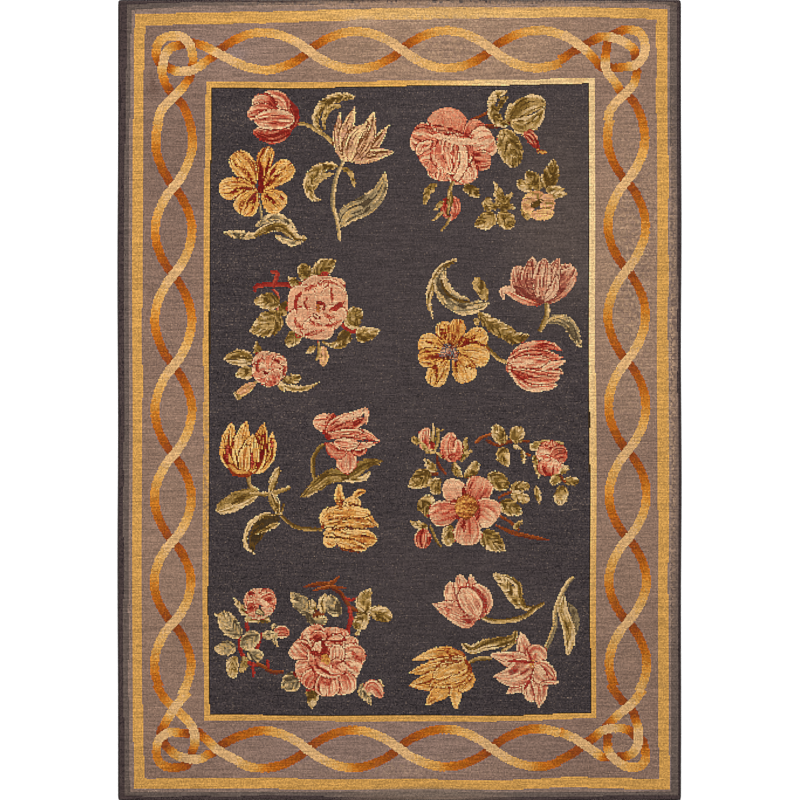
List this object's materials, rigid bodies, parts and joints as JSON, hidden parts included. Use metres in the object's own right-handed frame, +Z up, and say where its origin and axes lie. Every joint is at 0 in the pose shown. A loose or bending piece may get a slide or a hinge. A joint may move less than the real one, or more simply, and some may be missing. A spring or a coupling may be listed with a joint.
{
  "type": "hand-knotted rug",
  "caption": "Flat oblong hand-knotted wool rug with a low clipped pile and an overcast edge, lying on the floor, with flower sprays inside a ribbon border.",
  "frame": {"origin": "centre of the underside, on the floor", "axes": "+Z up out of the pile, +Y along the rug's length towards the picture's top edge, +X across its width"},
  "size_m": [1.83, 2.6, 0.008],
  "materials": {
    "wool_pile": "matte clipped wool knots"
  },
  "bodies": {
    "root": {"rug": "wool_pile"}
  },
  "joints": []
}
